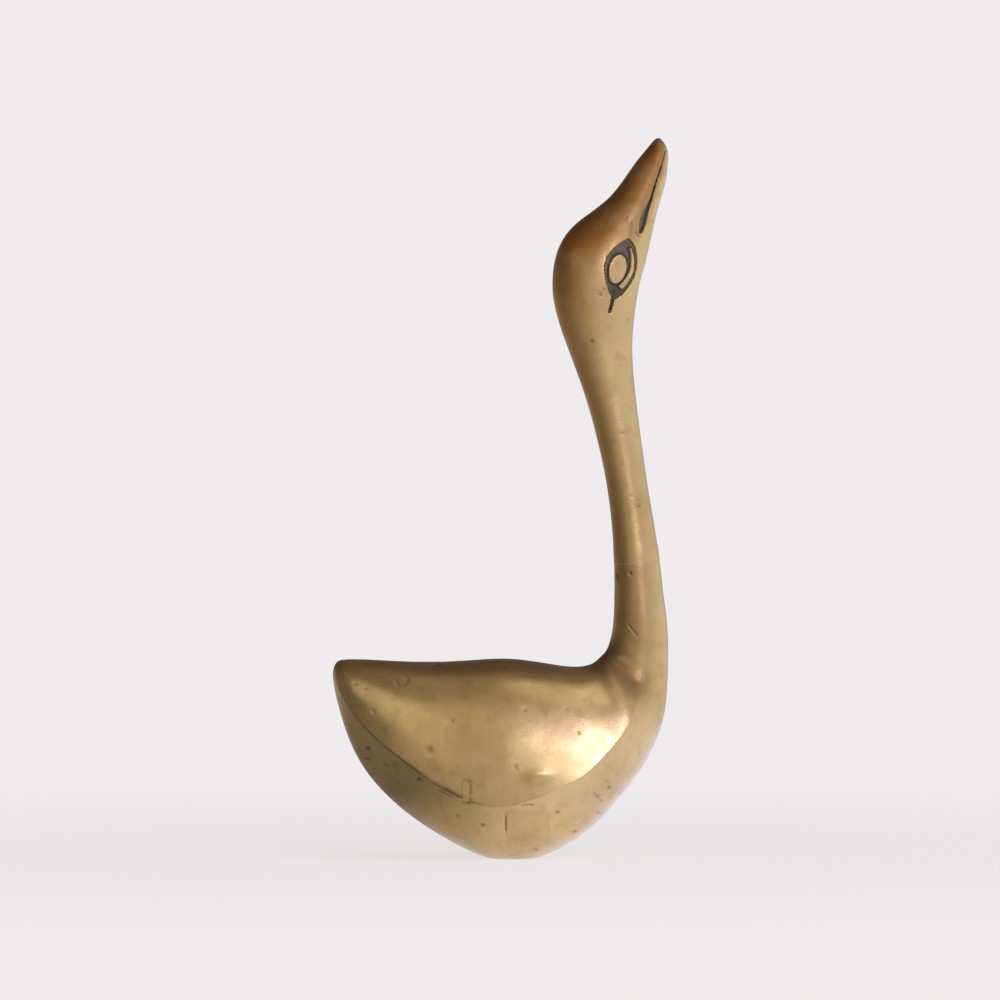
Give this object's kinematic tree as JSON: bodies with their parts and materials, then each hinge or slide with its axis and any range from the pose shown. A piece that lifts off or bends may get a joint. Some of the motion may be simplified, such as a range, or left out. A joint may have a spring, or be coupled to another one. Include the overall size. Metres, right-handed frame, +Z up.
{
  "type": "standing duck figurine",
  "caption": "Slender long-necked duck figurine in polished brass, standing on a small flat foot ground on its hollow body.",
  "frame": {"origin": "middle of the flat foot, on the surface it stands on", "axes": "+X forwards to the breast and bill, +Y to the bird's left, +Z up; the tail points along -X"},
  "size_m": [0.0839, 0.0422, 0.1797],
  "materials": {
    "cast_brass": "polished, with a warm brown tarnish",
    "braze": "dressed flush, a little paler than the castings",
    "plain_brass": "turned",
    "plug_brass": "dressed flush, a little pinker than the castings",
    "dark_filling": "matt, dark brown wax and old polish"
  },
  "bodies": {
    "root": {"body_shell_right": "cast_brass", "body_shell_left": "cast_brass", "body_seam_braze": "braze", "neck_and_head": "cast_brass", "neck_dowel": "plain_brass", "neck_joint_braze": "braze", "vent_plug": "plain_brass", "tail_plug": "plug_brass", "flank_plug": "plug_brass", "belly_patch": "plug_brass", "right_eye_fill": "dark_filling", "left_eye_fill": "dark_filling", "right_bill_fill": "dark_filling", "left_bill_fill": "dark_filling"}
  },
  "joints": []
}
